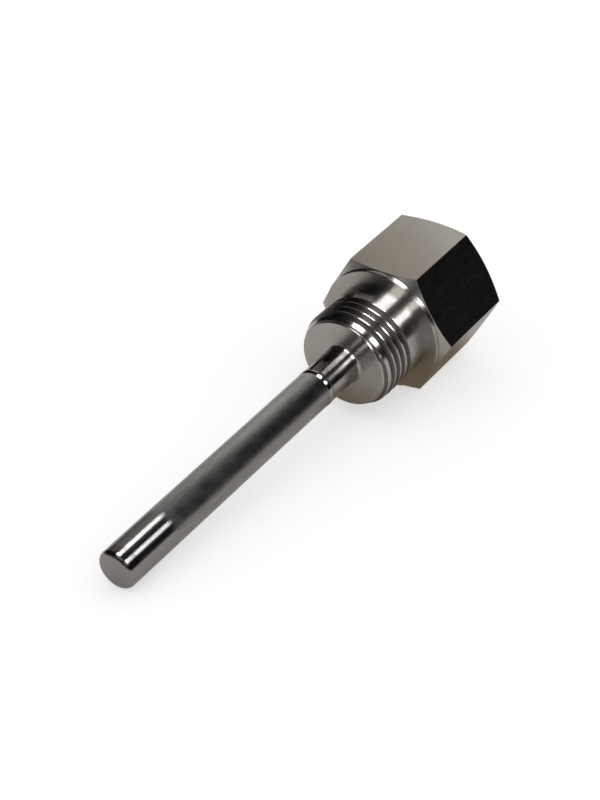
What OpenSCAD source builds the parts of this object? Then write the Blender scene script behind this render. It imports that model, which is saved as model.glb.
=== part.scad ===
// Thermowell with a parallel pipe thread: a head turned from hexagon bar,
// a drawn tube butt-welded to its stub, and a plug that closes the tube.
// Millimetres. It lies as it comes to rest: one flat of the hexagon and the
// tip touch the ground, with the tip towards -X and the head towards +X.
// The origin is the centre of the sealing face, on the axis of the well.

/* [Hexagon] */
// Width across the flats
hex_af = 27; // [26:0.5:32]
// Length of the hexagon along the well
hex_length = 22.5; // [18:0.5:32]
// Width of the turned chamfer at its rear end, at the middle of a flat
hex_chamfer = 1.7; // [0.4:0.1:1.8]
// Angle between its chamfers and the end faces, front and rear
hex_chamfer_angle = 25; // [15:1:35]
// Diameter of the round collar that carries the sealing face
collar_d = 26.8; // [24:0.1:26.9]
// Length of that collar
collar_length = 1; // [0.4:0.1:2.5]

/* [Process thread] */
// Major diameter of the outside thread
thread_d = 20.955; // [19.955:0.1:21.155]
// Length of the thread, with its lead
thread_length = 8.5; // [6:0.5:18]
// Length of the cone that leads into the thread
lead_length = 2.2; // [1:0.1:3]
// Depth of that cone, measured on the radius
lead_depth = 1; // [0.5:0.1:1.5]
// Length of the plain shank between the thread and the sealing face
shank_length = 5; // [2:0.5:10]

/* [Instrument socket] */
// Bore of the inside thread, at its crests
socket_d = 18.631; // [17.631:0.1:18.931]
// Depth of that bore, from the rear face
socket_depth = 14; // [8:0.5:16]
// Width of the chamfer at its mouth
mouth_chamfer = 1.3; // [0.3:0.1:1.5]
// Angle of the cone that the drill leaves at its bottom
drill_angle = 118; // [100:2:140]

/* [Stem] */
// Outside diameter of the stub, the tube and the end plug
stem_d = 8; // [6:0.5:12]
// Wall of the tube
tube_wall = 0.75; // [0.5:0.05:1.25]
// Length of the tube
tube_length = 57; // [20:1:240]
// Length of the turned stub, from the boss to the weld
stub_length = 10; // [4:0.5:20]
// Radius of the fillet at the root of the stub
root_fillet = 0.6; // [0.2:0.1:1.2]
// Width of the weld bead
bead_width = 1.4; // [0.8:0.1:2.4]
// Height of the weld bead above the tube
bead_height = 0.12; // [0.04:0.02:0.3]

/* [End plug] */
// Thickness of the cap that closes the tube
cap_length = 3; // [2:0.5:6]
// Radius of its rounded edge
tip_radius = 1; // [0.3:0.1:1.6]
// Length of the spigot inside the tube
spigot_length = 4; // [2:0.5:8]
// Chamfer on the end of the spigot
spigot_chamfer = 0.4; // [0.2:0.1:0.8]
// Depth of the seat reamed for it in the tube, on the radius
seat_cut = 0.2; // [0.05:0.05:0.3]
// Length of that seat past the end of the spigot
seat_relief = 0.3; // [0.1:0.1:1]
// Clearance of the spigot in its seat, on the radius
spigot_clearance = 0.02; // [0.01:0.01:0.05]

/* [Hidden] */
$fn = 96;

// Radii
hex_r = hex_af / 2;
hex_corner_r = hex_r / cos(30);
rear_face_r = hex_r - hex_chamfer;
collar_r = collar_d / 2;
thread_r = thread_d / 2;
socket_r = socket_d / 2;
stem_r = stem_d / 2;
bore_r = stem_r - tube_wall;
seat_r = bore_r + seat_cut;
spigot_r = seat_r - spigot_clearance;
bead_r = (pow(bead_width / 2, 2) + pow(bead_height, 2)) / (2 * bead_height);

// Places along the axis of the well, from the sealing face, positive towards the head
boss_front = -(shank_length + thread_length);
weld_plane = boss_front - stub_length;
tube_end = weld_plane - tube_length;
tip_end = tube_end - cap_length;
spigot_end = tube_end + spigot_length;
seat_end = spigot_end + seat_relief;
socket_floor = hex_length - socket_depth;
cone_end = socket_floor - (socket_r - bore_r) / tan(drill_angle / 2);
flat_start = collar_length + (hex_r - collar_r) * tan(hex_chamfer_angle);

// At rest the front end of the lowest flat and the rounded tip touch the ground
centre_drop = hex_r - (stem_r - tip_radius);
centre_gap = flat_start - (tip_end + tip_radius);
rest_tilt = atan2(centre_drop, centre_gap) - asin(tip_radius / norm([centre_drop, centre_gap]));

// How far a cutter runs past what it cuts
over = 1;

// Turns a piece from its own axis, Z with the head up, to the way the well lies
module lie_down() {
    rotate([0, 90 - rest_tilt, 0]) children();
}

// A round piece: its outline is drawn as radius and place along the axis
module turned() {
    rotate_extrude() children();
}

// Hexagon bar: the front end is turned to the collar, and both ends are chamfered
module hexagon_block() {
    front_depth = (hex_corner_r - collar_r) * tan(hex_chamfer_angle);
    rear_depth = (hex_corner_r - rear_face_r) * tan(hex_chamfer_angle);
    intersection() {
        rotate([0, 0, 30]) cylinder(r = hex_corner_r, h = hex_length, $fn = 6);
        turned() polygon([
            [0, 0],
            [collar_r, 0],
            [collar_r, collar_length],
            [hex_corner_r, collar_length + front_depth],
            [hex_corner_r, hex_length - rear_depth],
            [rear_face_r, hex_length],
            [0, hex_length],
        ]);
    }
}

// Outline of the boss, the stub and the fillet between them
module boss_outline() {
    polygon([
        [0, over],
        [thread_r, over],
        [thread_r, boss_front + lead_length],
        [thread_r - lead_depth, boss_front],
        [0, boss_front],
    ]);
    translate([0, weld_plane]) square([stem_r, stub_length + over]);
    translate([stem_r, boss_front - root_fillet]) difference() {
        translate([-over, 0]) square([root_fillet + over, root_fillet + over]);
        translate([root_fillet, 0]) circle(root_fillet);
    }
}

// The weld bead is a low crown round the end of the stub
module bead_outline() {
    intersection() {
        translate([stem_r + bead_height - bead_r, weld_plane + bead_width / 2]) circle(bead_r);
        translate([bore_r, weld_plane]) square([tube_wall + bead_height, bead_width]);
    }
}

// Bore for the sensor and socket for the instrument, open at the rear face
module head_bore() {
    turned() polygon([
        [0, weld_plane - over],
        [bore_r, weld_plane - over],
        [bore_r, cone_end],
        [socket_r, socket_floor],
        [socket_r, hex_length - mouth_chamfer],
        [socket_r + mouth_chamfer + over, hex_length + over],
        [0, hex_length + over],
    ]);
}

// Head: turned and bored from one length of hexagon bar
module head() {
    color([0.66, 0.64, 0.61]) lie_down() difference() {
        union() {
            hexagon_block();
            turned() boss_outline();
            turned() bead_outline();
        }
        head_bore();
    }
}

// Stem tube: drawn tube cut square, with a seat reamed in its front end for the spigot
module stem_tube() {
    color([0.58, 0.57, 0.55]) lie_down() turned() difference() {
        translate([bore_r, tube_end]) square([tube_wall, tube_length]);
        translate([bore_r - over, tube_end - over]) square([seat_cut + over, seat_end - tube_end + over]);
    }
}

// End plug: cap of the tube's diameter with a rounded edge, and a spigot inside the tube
module end_plug() {
    color([0.74, 0.73, 0.71]) lie_down() turned() {
        translate([0, tip_end]) square([stem_r - tip_radius, cap_length]);
        translate([0, tip_end + tip_radius]) square([stem_r, cap_length - tip_radius]);
        intersection() {
            translate([stem_r - tip_radius, tip_end + tip_radius]) circle(tip_radius);
            translate([0, tip_end]) square([stem_r, cap_length]);
        }
        polygon([
            [0, tube_end - over / 2],
            [spigot_r, tube_end - over / 2],
            [spigot_r, spigot_end - spigot_chamfer],
            [spigot_r - spigot_chamfer, spigot_end],
            [0, spigot_end],
        ]);
    }
}

head();
stem_tube();
end_plug();
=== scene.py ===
from math import asin, atan2, cos, degrees, hypot, pi, radians, sin, sqrt, tan

import bmesh
import bpy
from mathutils import Matrix, Vector


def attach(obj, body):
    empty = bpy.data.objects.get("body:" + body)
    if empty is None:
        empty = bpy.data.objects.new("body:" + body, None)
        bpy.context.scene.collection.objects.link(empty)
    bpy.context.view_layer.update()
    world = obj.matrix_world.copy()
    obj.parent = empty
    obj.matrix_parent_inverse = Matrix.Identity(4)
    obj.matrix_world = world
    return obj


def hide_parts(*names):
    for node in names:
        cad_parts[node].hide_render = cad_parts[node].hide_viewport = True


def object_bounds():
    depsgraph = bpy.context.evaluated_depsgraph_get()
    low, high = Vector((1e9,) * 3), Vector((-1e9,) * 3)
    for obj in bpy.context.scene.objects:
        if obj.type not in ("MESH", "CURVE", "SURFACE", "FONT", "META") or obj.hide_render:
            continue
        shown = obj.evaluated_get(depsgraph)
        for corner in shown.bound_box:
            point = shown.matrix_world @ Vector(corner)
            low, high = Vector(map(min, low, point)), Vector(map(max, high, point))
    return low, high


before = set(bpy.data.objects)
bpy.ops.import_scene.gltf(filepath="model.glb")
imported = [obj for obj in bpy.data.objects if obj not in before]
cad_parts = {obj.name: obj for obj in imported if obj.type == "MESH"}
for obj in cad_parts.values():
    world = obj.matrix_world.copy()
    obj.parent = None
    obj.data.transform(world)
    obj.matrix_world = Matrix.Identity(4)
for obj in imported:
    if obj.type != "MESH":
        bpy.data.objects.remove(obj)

cad_low, cad_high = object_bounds()
mm = 0.001


# ---------------------------------------------------------------------------
# Studio: a plain pale floor under the thermowell, which lies on it on one flat
# of its hexagon and its tip, and a camera high in front of the tip, on its
# right (-Y) side.
# ---------------------------------------------------------------------------
bpy.context.scene.view_settings.view_transform = "Standard"
floor_height = cad_low.z
floor_size = 6.0
shadow_tone = 0.56  # what is left of white in the deepest shadow
mirrored_shadow_tone = 0.06  # and what is left of it as the metal mirrors the floor
room_light = 0.85  # the soft light from all round


def new_material(name):
    """An empty node material: its nodes, its links and the output's surface socket."""
    material = bpy.data.materials.new(name)
    material.use_nodes = True
    nodes, links = material.node_tree.nodes, material.node_tree.links
    nodes.clear()
    output = nodes.new("ShaderNodeOutputMaterial")
    return material, nodes, links, output.inputs["Surface"]


def put(nodes, kind, values=None, **settings):
    """Adds a shader node, and gives it its own settings and the values of its inputs."""
    node = nodes.new("ShaderNode" + kind)
    for setting, value in settings.items():
        setattr(node, setting, value)
    for socket, value in (values or {}).items():
        node.inputs[socket].default_value = value
    return node


def added(nodes, links, first, second):
    """The sum of two shaders."""
    both = put(nodes, "AddShader")
    links.new(first.outputs[0], both.inputs[0])
    links.new(second.outputs[0], both.inputs[1])
    return both


def mixed(nodes, links, factor, first, second):
    """The first shader where factor is 0, and the second where it is 1."""
    mix = put(nodes, "MixShader")
    links.new(factor, mix.inputs["Fac"])
    links.new(first.outputs[0], mix.inputs[1])
    links.new(second.outputs[0], mix.inputs[2])
    return mix


def seen_rays(nodes, links):
    """1 for rays that show the background: from the camera, off metal, or through glass."""
    path = put(nodes, "LightPath")
    first = put(nodes, "Math", operation="MAXIMUM")
    links.new(path.outputs["Is Camera Ray"], first.inputs[0])
    links.new(path.outputs["Is Glossy Ray"], first.inputs[1])
    both = put(nodes, "Math", operation="MAXIMUM")
    links.new(first.outputs[0], both.inputs[0])
    links.new(path.outputs["Is Transmission Ray"], both.inputs[1])
    return both.outputs[0]


bpy.ops.object.select_all(action="DESELECT")
bpy.ops.mesh.primitive_plane_add(size=floor_size, location=(0, 0, floor_height))
floor = bpy.context.object
floor.name = "studio_floor"
paper, nodes, links, surface = new_material("pale_paper")
# It lights the metal as plain paper does
matt = put(nodes, "BsdfDiffuse", {"Color": (0.80, 0.80, 0.79, 1)})
# The camera sees it white, with a faint shadow
thin = put(nodes, "BsdfDiffuse", {"Color": (0.55, 0.55, 0.55, 1)})
white = put(nodes, "Emission", {"Color": (1, 1, 1, 1), "Strength": shadow_tone})
# The metal mirrors it with a deeper and warmer shadow
full = put(nodes, "BsdfDiffuse", {"Color": (1.0, 0.98, 0.95, 1)})
dim = put(nodes, "Emission", {"Color": (1, 0.8, 0.6, 1), "Strength": mirrored_shadow_tone})
shown = mixed(
    nodes, links, put(nodes, "LightPath").outputs["Is Glossy Ray"],
    added(nodes, links, thin, white), added(nodes, links, full, dim),
)
links.new(mixed(nodes, links, seen_rays(nodes, links), matt, shown).outputs[0], surface)
floor.data.materials.append(paper)

# The world is white where it is seen, and gives a softer light from all round.
world = bpy.data.worlds.new("studio_room")
bpy.context.scene.world = world
world.use_nodes = True
nodes, links = world.node_tree.nodes, world.node_tree.links
nodes.clear()
seen = put(nodes, "Background", {"Color": (1, 1, 1, 1), "Strength": 1.0})
soft = put(nodes, "Background", {"Color": (1, 1, 1, 1), "Strength": room_light})
output = put(nodes, "OutputWorld")
backdrop = mixed(nodes, links, seen_rays(nodes, links), soft, seen)
links.new(backdrop.outputs[0], output.inputs["Surface"])

# The camera looks back along the stem from above, so the head is at the far end.
camera_place = (-0.26425, -0.16992, 0.18281)
camera_down, camera_turn = 32.485, -54.292  # degrees below level, and round from +Y
bpy.ops.object.camera_add(
    location=camera_place,
    rotation=(radians(90 - camera_down), 0, radians(camera_turn)),
)
camera = bpy.context.object
camera.data.lens = 80.727
camera.data.sensor_width = 36
camera.data.clip_start = 0.02
camera.data.clip_end = 20
bpy.context.scene.camera = camera


def facing(direction):
    """The turn of a lamp that looks back along a direction, with one side in line with the stem."""
    z = direction.normalized()
    x = (Vector((1, 0, 0)) - z * z.x).normalized()
    return Matrix((x, z.cross(x), z)).transposed().to_euler()


def way(lengthwise, angle):
    """A direction: that much in line with the stem, and the rest at that angle round it."""
    across = sqrt(1 - lengthwise ** 2)
    return Vector((lengthwise, across * cos(radians(angle)), across * sin(radians(angle))))


def lamp(name, aim, direction, far, length, width, power, lit):
    """A soft box at that distance from its aim. It lights only the pieces in lit."""
    place = Vector(aim) + direction.normalized() * far
    bpy.ops.object.light_add(type="AREA", location=place, rotation=facing(direction))
    light = bpy.context.object
    light.name = name
    light.data.shape = "RECTANGLE"
    light.data.size = length
    light.data.size_y = width
    light.data.energy = power
    light.visible_camera = False
    light.light_linking.receiver_collection = lit


def only_reflected(sheet, tone, lit=None):
    """Gives a card or wall its tone. Only metal mirrors it, or only the pieces in lit."""
    material, nodes, links, surface = new_material(sheet.name + "_paper")
    plain = put(nodes, "Emission", {"Color": (*tone, 1)})
    links.new(plain.outputs[0], surface)
    sheet.data.materials.append(material)
    sheet.visible_camera = False
    sheet.visible_diffuse = False
    sheet.visible_shadow = False
    if lit:
        sheet.light_linking.receiver_collection = lit


def card(name, start, end, front, back, tone, far=1.0, lit=None):
    """A long card in line with the stem, from front to back along X and from start to end
    degrees round it. 0 is left (+Y) and 90 is overhead."""
    turn, half = radians((start + end) / 2), radians((end - start) / 2)
    place = ((front + back) / 2, far * cos(turn), far * sin(turn))
    bpy.ops.object.select_all(action="DESELECT")
    bpy.ops.mesh.primitive_plane_add(size=1, location=place, rotation=(turn - pi / 2, 0, 0))
    sheet = bpy.context.object
    sheet.name = name
    sheet.scale = (back - front, 2 * far * tan(half), 1)
    only_reflected(sheet, tone, lit)


# Two long strip lamps over the head, and a smaller pair over the stem's tip.
head_place = (-0.002, -0.003, 0.008)
tip_place = (-0.078, -0.002, -0.006)
lit_head = bpy.data.collections.new("lit_with_the_head")
lit_stem = bpy.data.collections.new("lit_with_the_stem")
lamp("head_key", head_place, way(-0.15, 97),
     far=0.60, length=0.62, width=0.25, power=8.0, lit=lit_head)
lamp("head_side", head_place, way(-0.15, 140),
     far=0.60, length=0.62, width=0.15, power=5.8, lit=lit_head)
lamp("tip_key", tip_place, way(0.12, 80.5),
     far=0.40, length=0.05, width=0.14, power=1.3, lit=lit_stem)
lamp("tip_side", tip_place, way(0.12, 131),
     far=0.40, length=0.05, width=0.12, power=1.0, lit=lit_stem)

# Round the table the room is dark: a box without its bottom.
room_size = (3.4, 3.0, 1.5)
room_lift = 0.002  # the walls end just over the floor
bpy.ops.object.select_all(action="DESELECT")
bpy.ops.mesh.primitive_cube_add(
    size=1, location=(0.2, 0, floor_height + room_lift + room_size[2] / 2)
)
room = bpy.context.object
room.name = "dark_room"
room.scale = room_size
bpy.ops.object.mode_set(mode="EDIT")
bpy.ops.mesh.select_mode(type="FACE")
bpy.ops.mesh.select_all(action="DESELECT")
bpy.ops.object.mode_set(mode="OBJECT")
for wall in room.data.polygons:
    wall.select = wall.normal.z < -0.5
bpy.ops.object.mode_set(mode="EDIT")
bpy.ops.mesh.delete(type="FACE")
bpy.ops.mesh.select_mode(type="VERT")
bpy.ops.object.mode_set(mode="OBJECT")
only_reflected(room, (0.007, 0.007, 0.008))

# Pale cards stand behind the head, from low on the left to overhead. The upper
# left flat of the hexagon and the left side of the stem mirror them.
card("left_low_card", 0, 26, 0.52, 1.6, (0.62, 0.61, 0.58), far=1.02, lit=lit_stem)
card("left_front_card", 26, 68, 0.50, 0.72, (1.35, 1.32, 1.28), lit=lit_stem)
card("left_high_card", 26, 68, 0.72, 0.845, (0.74, 0.68, 0.60))
card("left_back_card", 26, 68, 0.845, 1.6, (1.25, 1.23, 1.17))
card("fading_card", 68, 86, 0.50, 0.72, (0.80, 0.79, 0.77), lit=lit_stem)
card("faded_card", 86, 104, 0.50, 0.72, (0.30, 0.30, 0.30), lit=lit_stem)

# Grey cards stand in front of the tip, for views from behind the head.
card("tip_high_card", 74, 116, -1.35, -0.40, (0.50, 0.50, 0.49), lit=lit_stem)
card("tip_side_card", 128, 154, -1.35, -0.40, (0.34, 0.33, 0.32))

# The metal mirrors a dark table in front of the tip and on its left.
bpy.ops.object.select_all(action="DESELECT")
bpy.ops.mesh.primitive_plane_add(size=1, location=(-0.83, 0.40, floor_height + 0.001))
low_card = bpy.context.object
low_card.name = "dark_low_card"
low_card.scale = (1.40, 2.00, 1)
only_reflected(low_card, (0.02, 0.02, 0.02))

# Painted shadow: close under the head lies a warm dark card that only the metal mirrors, and it
# fades out round it.
shade_centre = (0.004, 0.004, 0)
shade_full, shade_end = 0.017, 0.028
bpy.ops.object.select_all(action="DESELECT")
bpy.ops.mesh.primitive_plane_add(size=0.08, location=(0, 0, floor_height + 0.0003))
shade = bpy.context.object
shade.name = "warm_shade"
only_reflected(shade, (0.30, 0.245, 0.18))
tree = shade.data.materials[0].node_tree
nodes, links = tree.nodes, tree.links
off = put(nodes, "VectorMath", {1: shade_centre}, operation="DISTANCE")
links.new(put(nodes, "TexCoord").outputs["Object"], off.inputs[0])
fade = put(
    nodes, "MapRange", {"From Min": shade_full, "From Max": shade_end},
    interpolation_type="SMOOTHSTEP",
)
links.new(off.outputs["Value"], fade.inputs["Value"])
clear = put(nodes, "BsdfTransparent")
faded = mixed(nodes, links, fade.outputs["Result"], nodes["Emission"], clear)
links.new(faded.outputs[0], nodes["Material Output"].inputs["Surface"])


# ---------------------------------------------------------------------------
# Head: turned from one length of 27 mm stainless hexagon bar. The boss, its
# shank and the slim stub are turned in front of the bar, a pipe thread is cut
# on the boss and another inside the socket, and a bore runs right through.
# ---------------------------------------------------------------------------
hexagon_flat = 27.0 * mm
hexagon_length = 22.5 * mm
hexagon_chamfer = 1.7 * mm
chamfer_angle = radians(25)
collar_radius = 13.4 * mm
collar_length = 1.0 * mm
boss_radius = 10.4775 * mm
thread_length = 8.5 * mm
lead_length, lead_depth = 2.2 * mm, 1.0 * mm
shank_length = 5.0 * mm
socket_radius = 9.3155 * mm
socket_depth = 14.0 * mm
mouth_chamfer = 1.3 * mm
drill_angle = radians(118)
stem_radius = 4.0 * mm
bore_radius = 3.25 * mm
stub_length = 10.0 * mm
root_fillet = 0.6 * mm
bead_width, bead_height = 1.4 * mm, 0.12 * mm
broken_edge = 0.12 * mm
tube_length = 57.0 * mm
cap_length = 3.0 * mm
tip_rounding = 1.0 * mm
past_corners = 1.0 * mm  # how far the turned outline runs past the bar's corners

# Places along the axis, from the sealing face, positive towards the hexagon.
flat_radius = hexagon_flat / 2
corner_radius = flat_radius / cos(radians(30))
rear_radius = flat_radius - hexagon_chamfer
boss_front = -(shank_length + thread_length)
weld_place = boss_front - stub_length
tube_end = weld_place - tube_length
tip_end = tube_end - cap_length
socket_floor = hexagon_length - socket_depth
cone_end = socket_floor - (socket_radius - bore_radius) / tan(drill_angle / 2)
flat_start = collar_length + (flat_radius - collar_radius) * tan(chamfer_angle)

# It rests on the front end of its lowest flat and on its rounded tip.
drop = flat_radius - (stem_radius - tip_rounding)
gap = flat_start - (tip_end + tip_rounding)
rest_tilt = atan2(drop, gap) - asin(tip_rounding / hypot(drop, gap))
well_axis = Vector((cos(rest_tilt), 0, sin(rest_tilt)))


def arc(centre, radius, start, end, steps):
    """Points of an arc in an outline, from one angle to the other, in degrees."""
    angles = [radians(start + (end - start) * step / steps) for step in range(steps + 1)]
    return [(centre[0] + radius * cos(angle), centre[1] + radius * sin(angle)) for angle in angles]


def draw_outline(name, points, closed):
    """A wire outline of (radius, place along the axis), drawn point by point."""
    bpy.ops.object.select_all(action="DESELECT")
    bpy.ops.mesh.primitive_plane_add(size=mm)
    piece = bpy.context.object
    piece.name = name
    bpy.ops.object.mode_set(mode="EDIT")
    bpy.ops.mesh.select_all(action="SELECT")
    bpy.ops.mesh.merge(type="CENTER")
    bpy.ops.transform.translate(value=(points[0][0], 0, points[0][1]))
    for before, after in zip(points, points[1:]):
        step = (after[0] - before[0], 0, after[1] - before[1])
        bpy.ops.mesh.extrude_vertices_move(TRANSFORM_OT_translate={"value": step})
    bpy.ops.object.mode_set(mode="OBJECT")
    if closed:
        ends = (0, len(piece.data.vertices) - 1)
        for vertex in piece.data.vertices:
            vertex.select = vertex.index in ends
        bpy.ops.object.mode_set(mode="EDIT")
        bpy.ops.mesh.edge_face_add()
        bpy.ops.object.mode_set(mode="OBJECT")
    return piece


def turn_on_lathe(name, points, closed=True, rounds=192):
    """A turned piece: its outline spun once round the axis, and its seam closed."""
    piece = draw_outline(name, points, closed)
    bpy.ops.object.mode_set(mode="EDIT")
    bpy.ops.mesh.select_all(action="SELECT")
    bpy.ops.mesh.spin(steps=rounds, angle=2 * pi, center=(0, 0, 0), axis=(0, 0, 1))
    bpy.ops.mesh.select_all(action="SELECT")
    bpy.ops.mesh.remove_doubles(threshold=0.002 * mm)
    bpy.ops.mesh.normals_make_consistent(inside=False)
    bpy.ops.object.mode_set(mode="OBJECT")
    return piece


def cut_with(piece, tool, operation):
    """Cuts the piece with the tool, which is used up."""
    bpy.ops.object.select_all(action="DESELECT")
    piece.select_set(True)
    bpy.context.view_layer.objects.active = piece
    cut = piece.modifiers.new("cut", "BOOLEAN")
    cut.operation = operation
    cut.solver = "EXACT"
    cut.object = tool
    bpy.ops.object.modifier_apply(modifier=cut.name)
    bpy.data.objects.remove(tool)


def lay_down(piece, sharp=14):
    """Lays the finished piece down as the thermowell rests, with its place in its mesh.
    Edges of more than sharp degrees stay sharp."""
    bpy.ops.object.select_all(action="DESELECT")
    piece.select_set(True)
    bpy.context.view_layer.objects.active = piece
    piece.rotation_euler = (0, pi / 2 - rest_tilt, 0)
    bpy.ops.object.transform_apply(location=True, rotation=True, scale=True)
    bpy.ops.object.shade_smooth_by_angle(angle=radians(sharp))


# The turned outline of the whole head: back along its outside, and forward through its bore.
front_rise = (corner_radius - collar_radius) * tan(chamfer_angle)
rear_rise = (corner_radius - rear_radius) * tan(chamfer_angle)
past_rise = past_corners * tan(chamfer_angle)
bead_circle = ((bead_width / 2) ** 2 + bead_height ** 2) / (2 * bead_height)
bead_centre = (stem_radius + bead_height - bead_circle, weld_place + bead_width / 2)
bead_half_angle = degrees(asin(bead_width / 2 / bead_circle))
root_centre = (stem_radius + root_fillet, boss_front - root_fillet)
head = turn_on_lathe("head_turned", [
    (bore_radius, weld_place),
    (stem_radius, weld_place),
    *arc(bead_centre, bead_circle, -bead_half_angle, bead_half_angle, 8)[1:],
    *arc(root_centre, root_fillet, 180, 90, 8),
    (boss_radius - lead_depth - broken_edge, boss_front),
    (boss_radius - lead_depth, boss_front + broken_edge / 2),
    (boss_radius, boss_front + lead_length),
    (boss_radius, 0),
    (collar_radius - broken_edge, 0),
    (collar_radius, broken_edge),
    (collar_radius, collar_length),
    (corner_radius + past_corners, collar_length + front_rise + past_rise),
    (corner_radius + past_corners, hexagon_length - rear_rise - past_rise),
    (rear_radius, hexagon_length),
    (socket_radius + mouth_chamfer, hexagon_length),
    (socket_radius, hexagon_length - mouth_chamfer),
    (socket_radius, socket_floor),
    (bore_radius, cone_end),
])

# The bar itself, with its six drawn flats.
bar_length = 60 * mm
bpy.ops.object.select_all(action="DESELECT")
bpy.ops.mesh.primitive_cylinder_add(vertices=6, radius=corner_radius, depth=bar_length)
bar = bpy.context.object
cut_with(head, bar, "INTERSECT")

# The pipe thread form: 14 threads to the inch, 55 degrees, crests and roots rounded.
pitch = 25.4 * mm / 14
thread_depth = 0.640327 * pitch
form_radius = 0.137329 * pitch
form_turn = 90 - 55 / 2  # degrees of each rounding, up to the flank
crest_land = 0.05 * mm  # half the width that is left uncut on a crest
tool_outside = 0.35 * mm  # how far the tool stands out of the metal
run_out = 0.45  # part of a turn over which the thread ends
run_out_past = 0.1 * mm  # how far past the crests it is drawn there


def thread_tool(name, crest_radius, side, start, turns, fade_last):
    """A long V that winds round the axis. side is 1 to cut a rod, and -1 to cut a hole."""
    rounding = arc((0, form_radius), form_radius, -90, form_turn - 90, 5)
    half = [(pitch / 2 - crest_land, -tool_outside)]
    half += [(pitch / 2 - across, down) for across, down in rounding if across > crest_land]
    half += [(across, thread_depth - down) for across, down in reversed(rounding)]
    section = half + [(-across, down) for across, down in reversed(half[:-1])]
    points = [(crest_radius - side * down, start + across) for across, down in section]
    tool = draw_outline(name, points, True)
    rounds = 90
    wind = tool.modifiers.new("wind", "SCREW")
    wind.axis = "Z"
    wind.angle = 2 * pi
    wind.screw_offset = pitch
    wind.iterations = turns
    wind.steps = rounds
    wind.render_steps = rounds
    wind.use_merge_vertices = False
    bpy.ops.object.modifier_apply(modifier=wind.name)
    # Where the thread ends the tool is drawn out of the metal over part of a turn
    for vertex in tool.data.vertices:
        turned = vertex.index // len(points) / rounds
        left = turns - turned if fade_last else turned
        out = max(0, 1 - left / run_out) ** 2
        radius = hypot(vertex.co.x, vertex.co.y)
        grown = radius + side * out * (thread_depth + run_out_past)
        vertex.co.x *= grown / radius
        vertex.co.y *= grown / radius
    bpy.ops.object.mode_set(mode="EDIT")
    bpy.ops.mesh.select_all(action="SELECT")
    bpy.ops.mesh.fill_holes(sides=0)
    bpy.ops.mesh.select_all(action="SELECT")
    bpy.ops.mesh.normals_make_consistent(inside=False)
    bpy.ops.object.mode_set(mode="OBJECT")
    # Its faces have to point out of it, or it would add metal
    check = bmesh.new()
    check.from_mesh(tool.data)
    if check.calc_volume(signed=True) < 0:
        tool.data.flip_normals()
    check.free()
    return tool


# The outside thread starts in front of the boss and runs out on the shank
outside_start = boss_front - 1.4 * pitch
outside_tool = thread_tool(
    "outside_thread", boss_radius, side=1, start=outside_start, turns=6, fade_last=True
)
cut_with(head, outside_tool, "DIFFERENCE")
# The inside thread runs out near the socket's floor and is open at its mouth
inside_start = socket_floor + 1.5 * mm
inside_tool = thread_tool(
    "inside_thread", socket_radius, side=-1, start=inside_start, turns=8, fade_last=False
)
cut_with(head, inside_tool, "DIFFERENCE")
lay_down(head)


def round_the_axis(nodes, links, point):
    """The direction round the axis at a point, which is the way a lathe tool marks the metal.
    It is as long as the point is far from the axis."""
    across = put(nodes, "VectorMath", {0: well_axis}, operation="CROSS_PRODUCT")
    links.new(point, across.inputs[1])
    return across.outputs["Vector"]


def along_axis(nodes, links, point):
    """Place along the axis of the thermowell, in metres."""
    along = put(nodes, "VectorMath", {1: well_axis}, operation="DOT_PRODUCT")
    links.new(point, along.inputs[0])
    return along.outputs["Value"]


def along_the_grain(nodes, links, point, squeeze):
    """The point with its place along the well squeezed, so that noise there runs in long lines."""
    grain = put(nodes, "Mapping", {"Rotation": (0, rest_tilt, 0), "Scale": (squeeze, 1, 1)})
    links.new(point, grain.inputs["Vector"])
    return grain.outputs["Vector"]


def noise_at(nodes, links, where, scale, detail, roughness=0.5):
    """Noise from 0 to 1, with that many waves to the metre."""
    noise = put(nodes, "TexNoise", {"Scale": scale, "Detail": detail, "Roughness": roughness})
    links.new(where, noise.inputs["Vector"])
    return noise.outputs["Fac"]


def uneven_tone(nodes, links, steel, noise, tone, low, high):
    """The steel's colour: its tone times low to high."""
    darker, paler = ([min(1, share * part) for part in tone] for share in (low, high))
    colour = put(nodes, "Mix", {"A": (*darker, 1), "B": (*paler, 1)}, data_type="RGBA")
    links.new(noise, colour.inputs["Factor"])
    links.new(colour.outputs["Result"], steel.inputs["Base Color"])


def uneven_roughness(nodes, links, steel, noise, low, high):
    """The steel's roughness: low to high over the middle of the noise."""
    rough = put(nodes, "MapRange", {
        "From Min": 0.3, "From Max": 0.7, "To Min": low, "To Max": high,
    })
    links.new(noise, rough.inputs["Value"])
    links.new(rough.outputs["Result"], steel.inputs["Roughness"])


def fine_relief(nodes, links, steel, noise, strength, height):
    """Tool marks and drawing lines, too fine to model."""
    bump = put(nodes, "Bump", {"Strength": strength, "Distance": height})
    links.new(noise, bump.inputs["Height"])
    links.new(bump.outputs["Normal"], steel.inputs["Normal"])


quarter_turn = 0.25  # of the anisotropy: it draws a highlight across the rings


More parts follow.
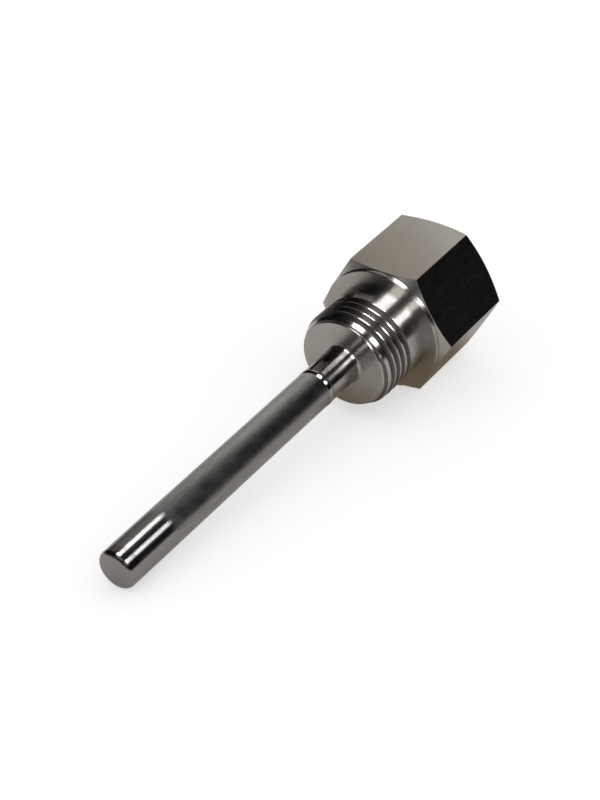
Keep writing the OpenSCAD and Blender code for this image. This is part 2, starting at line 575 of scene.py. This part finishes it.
def turned_steel_finish(name, tone, roughness, spread, marks, marks_height):
    """Stainless steel off a lathe: fine rings, which draw a highlight out along the axis."""
    material, nodes, links, surface = new_material(name)
    point = put(nodes, "TexCoord").outputs["Object"]
    ring_way = round_the_axis(nodes, links, point)
    steel = put(nodes, "BsdfPrincipled", {
        "Metallic": 1, "Anisotropic": spread, "Anisotropic Rotation": quarter_turn,
    })
    links.new(ring_way, steel.inputs["Tangent"])
    # Tool marks, alike all the way round
    radius = put(nodes, "VectorMath", operation="LENGTH")
    links.new(ring_way, radius.inputs[0])
    rings = put(nodes, "CombineXYZ")
    links.new(along_axis(nodes, links, point), rings.inputs["X"])
    links.new(radius.outputs["Value"], rings.inputs["Y"])
    tool_marks = noise_at(nodes, links, rings.outputs["Vector"], marks, 3, 0.6)
    uneven_tone(nodes, links, steel, tool_marks, tone, 0.86, 1.12)
    fine_relief(nodes, links, steel, tool_marks, 0.6, marks_height)
    # Slow variation of the finish over the surface
    cloud = noise_at(nodes, links, point, 260, 2)
    uneven_roughness(nodes, links, steel, cloud, roughness * 0.88, roughness * 1.14)
    links.new(steel.outputs[0], surface)
    return material


def drawn_bar_finish(name, tone, roughness):
    """Cold drawn bar: a smooth, slightly cloudy skin with faint lines along the bar."""
    material, nodes, links, surface = new_material(name)
    point = put(nodes, "TexCoord").outputs["Object"]
    steel = put(nodes, "BsdfPrincipled", {"Metallic": 1, "Specular Tint": (0.42, 0.41, 0.39, 1)})
    lines = noise_at(nodes, links, along_the_grain(nodes, links, point, 0.03), 2600, 3)
    cloud = noise_at(nodes, links, point, 120, 3)
    uneven_tone(nodes, links, steel, cloud, tone, 0.90, 1.08)
    uneven_roughness(nodes, links, steel, lines, roughness * 0.85, roughness * 1.2)
    fine_relief(nodes, links, steel, lines, 0.35, 0.002 * mm)
    links.new(steel.outputs[0], surface)
    return material


steel_tone = (0.34, 0.328, 0.312)
# Painted shade: the stub gets a darker copy of the head's steel
stub_shade_tone = (0.27, 0.26, 0.25)
# Painted shade: the thread's grooves and flanks get a much darker copy of the steel
groove_shade_tone = (0.12, 0.112, 0.106)
head.data.materials.clear()
head.data.materials.append(turned_steel_finish(
    "turned_head_steel", steel_tone,
    roughness=0.25, spread=0.95, marks=5200, marks_height=0.004 * mm,
))
head.data.materials.append(drawn_bar_finish("drawn_hexagon_steel", steel_tone, roughness=0.14))
head.data.materials.append(turned_steel_finish(
    "turned_stub_steel_and_shade", stub_shade_tone,
    roughness=0.18, spread=0.8, marks=3600, marks_height=0.003 * mm,
))
head.data.materials.append(turned_steel_finish(
    "thread_flank_painted_shade", groove_shade_tone,
    roughness=0.34, spread=0.7, marks=3600, marks_height=0.003 * mm,
))
turned, drawn, on_stub, in_groove = range(4)
stub_inside = bore_radius + 0.1 * mm  # nearer the axis it is the bore
groove_front, groove_back = boss_front + 0.1 * mm, pitch - shank_length
groove_floor = boss_radius - lead_depth - thread_depth
groove_top = 0.12 * mm  # how far below a crest the painted shade of the groove starts
flats_inside = flat_radius - 0.01 * mm
for face in head.data.polygons:
    along = face.center.dot(well_axis)
    radius = (face.center - well_axis * along).length
    level = abs(face.normal.dot(well_axis)) < 0.01
    # The thread's crests, or the cone that leads into them
    crest = boss_radius - lead_depth * max(0, 1 - (along - boss_front) / lead_length)
    if along < boss_front - root_fillet and radius > stub_inside:
        face.material_index = on_stub
    # The thread's grooves, which get the painted shade
    elif groove_front < along < groove_back and groove_floor < radius < crest - groove_top:
        face.material_index = in_groove
    elif level and radius > flats_inside:
        face.material_index = drawn
    else:
        face.material_index = turned
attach(head, "root")
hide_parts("head")
lit_head.objects.link(head)


# ---------------------------------------------------------------------------
# Stem tube: 8 mm drawn stainless tube, butt-welded to the stub. It keeps the
# dull skin of drawing, apart from its last 12 mm, which are polished with the
# weld of the end plug. A seat is reamed inside that end for the plug.
# ---------------------------------------------------------------------------
seat_radius = 3.45 * mm
seat_end = tube_end + 4.3 * mm
ring_step = 12 * mm  # rings along the tube, so no face is very long
tube = turn_on_lathe("stem_tube_drawn", [
    *[(stem_radius, tube_end + ring * ring_step) for ring in range(4)],
    (stem_radius, weld_place),
    (bore_radius, weld_place),
    (bore_radius, seat_end),
    (seat_radius, seat_end),
    (seat_radius, tube_end),
])
lay_down(tube)


def drawn_tube_finish(name, tone, polish_place):
    """Drawn tube with fine lines along it, and polished round and round past polish_place."""
    material, nodes, links, surface = new_material(name)
    point = put(nodes, "TexCoord").outputs["Object"]
    ring_way = round_the_axis(nodes, links, point)
    cloud = noise_at(nodes, links, point, 330, 1)

    drawn = put(nodes, "BsdfPrincipled", {"Metallic": 1, "Anisotropic": 0.7})
    links.new(ring_way, drawn.inputs["Tangent"])
    lines = noise_at(nodes, links, along_the_grain(nodes, links, point, 0.05), 2300, 3)
    uneven_tone(nodes, links, drawn, lines, tone, 0.64, 1.24)
    uneven_roughness(nodes, links, drawn, cloud, 0.26, 0.31)
    fine_relief(nodes, links, drawn, lines, 0.5, 0.004 * mm)

    polished = put(nodes, "BsdfPrincipled", {
        "Metallic": 1, "Base Color": (*tone, 1), "Roughness": 0.27,
        "Anisotropic": 0.95, "Anisotropic Rotation": quarter_turn,
    })
    links.new(ring_way, polished.inputs["Tangent"])

    # The polish fades into the drawn skin over about 2 mm, unevenly
    wander = put(nodes, "Math", {1: 2.2 * mm}, operation="MULTIPLY_ADD")
    links.new(cloud, wander.inputs[0])
    links.new(along_axis(nodes, links, point), wander.inputs[2])
    fade = put(
        nodes, "MapRange",
        {"From Min": polish_place - 0.2 * mm, "From Max": polish_place + 2.0 * mm},
        interpolation_type="SMOOTHSTEP",
    )
    links.new(wander.outputs[0], fade.inputs["Value"])
    both = mixed(nodes, links, fade.outputs["Result"], polished, drawn)
    links.new(both.outputs[0], surface)
    return material


# Painted shade: the tube's steel is a darker copy of the head's, for the shaded floor close under
# the stem that it mirrors
tube_shade_tone = (0.225, 0.222, 0.217)
polish_length = 10 * mm
tube.data.materials.clear()
tube.data.materials.append(
    drawn_tube_finish("drawn_tube_steel_and_shade", tube_shade_tone, tube_end + polish_length)
)
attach(tube, "root")
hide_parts("stem_tube")
lit_stem.objects.link(tube)


# ---------------------------------------------------------------------------
# End plug: a turned stainless cap with a spigot, pressed into the tube and
# welded. The weld is dressed flush, and the cap is polished with the tube.
# ---------------------------------------------------------------------------
spigot_radius = 3.43 * mm
spigot_end = tube_end + 4.0 * mm
spigot_chamfer = 0.4 * mm
end_ring = 1.2 * mm  # a ring on its flat end
tip_centre = (stem_radius - tip_rounding, tip_end + tip_rounding)
plug = turn_on_lathe("end_plug_turned", [
    (0, tip_end),
    (end_ring, tip_end),
    *arc(tip_centre, tip_rounding, -90, 0, 10),
    (stem_radius, tube_end),
    (spigot_radius, tube_end),
    (spigot_radius, spigot_end - spigot_chamfer),
    (spigot_radius - spigot_chamfer, spigot_end),
    (0, spigot_end),
], closed=False)
lay_down(plug)
# Painted shade: the cap's steel is a darker copy of the head's, as on the tube
cap_shade_tone = (0.235, 0.222, 0.222)
plug.data.materials.clear()
plug.data.materials.append(turned_steel_finish(
    "polished_cap_steel_and_shade", cap_shade_tone,
    roughness=0.22, spread=0.9, marks=6500, marks_height=0.002 * mm,
))
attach(plug, "root")
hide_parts("end_plug")
lit_stem.objects.link(plug)
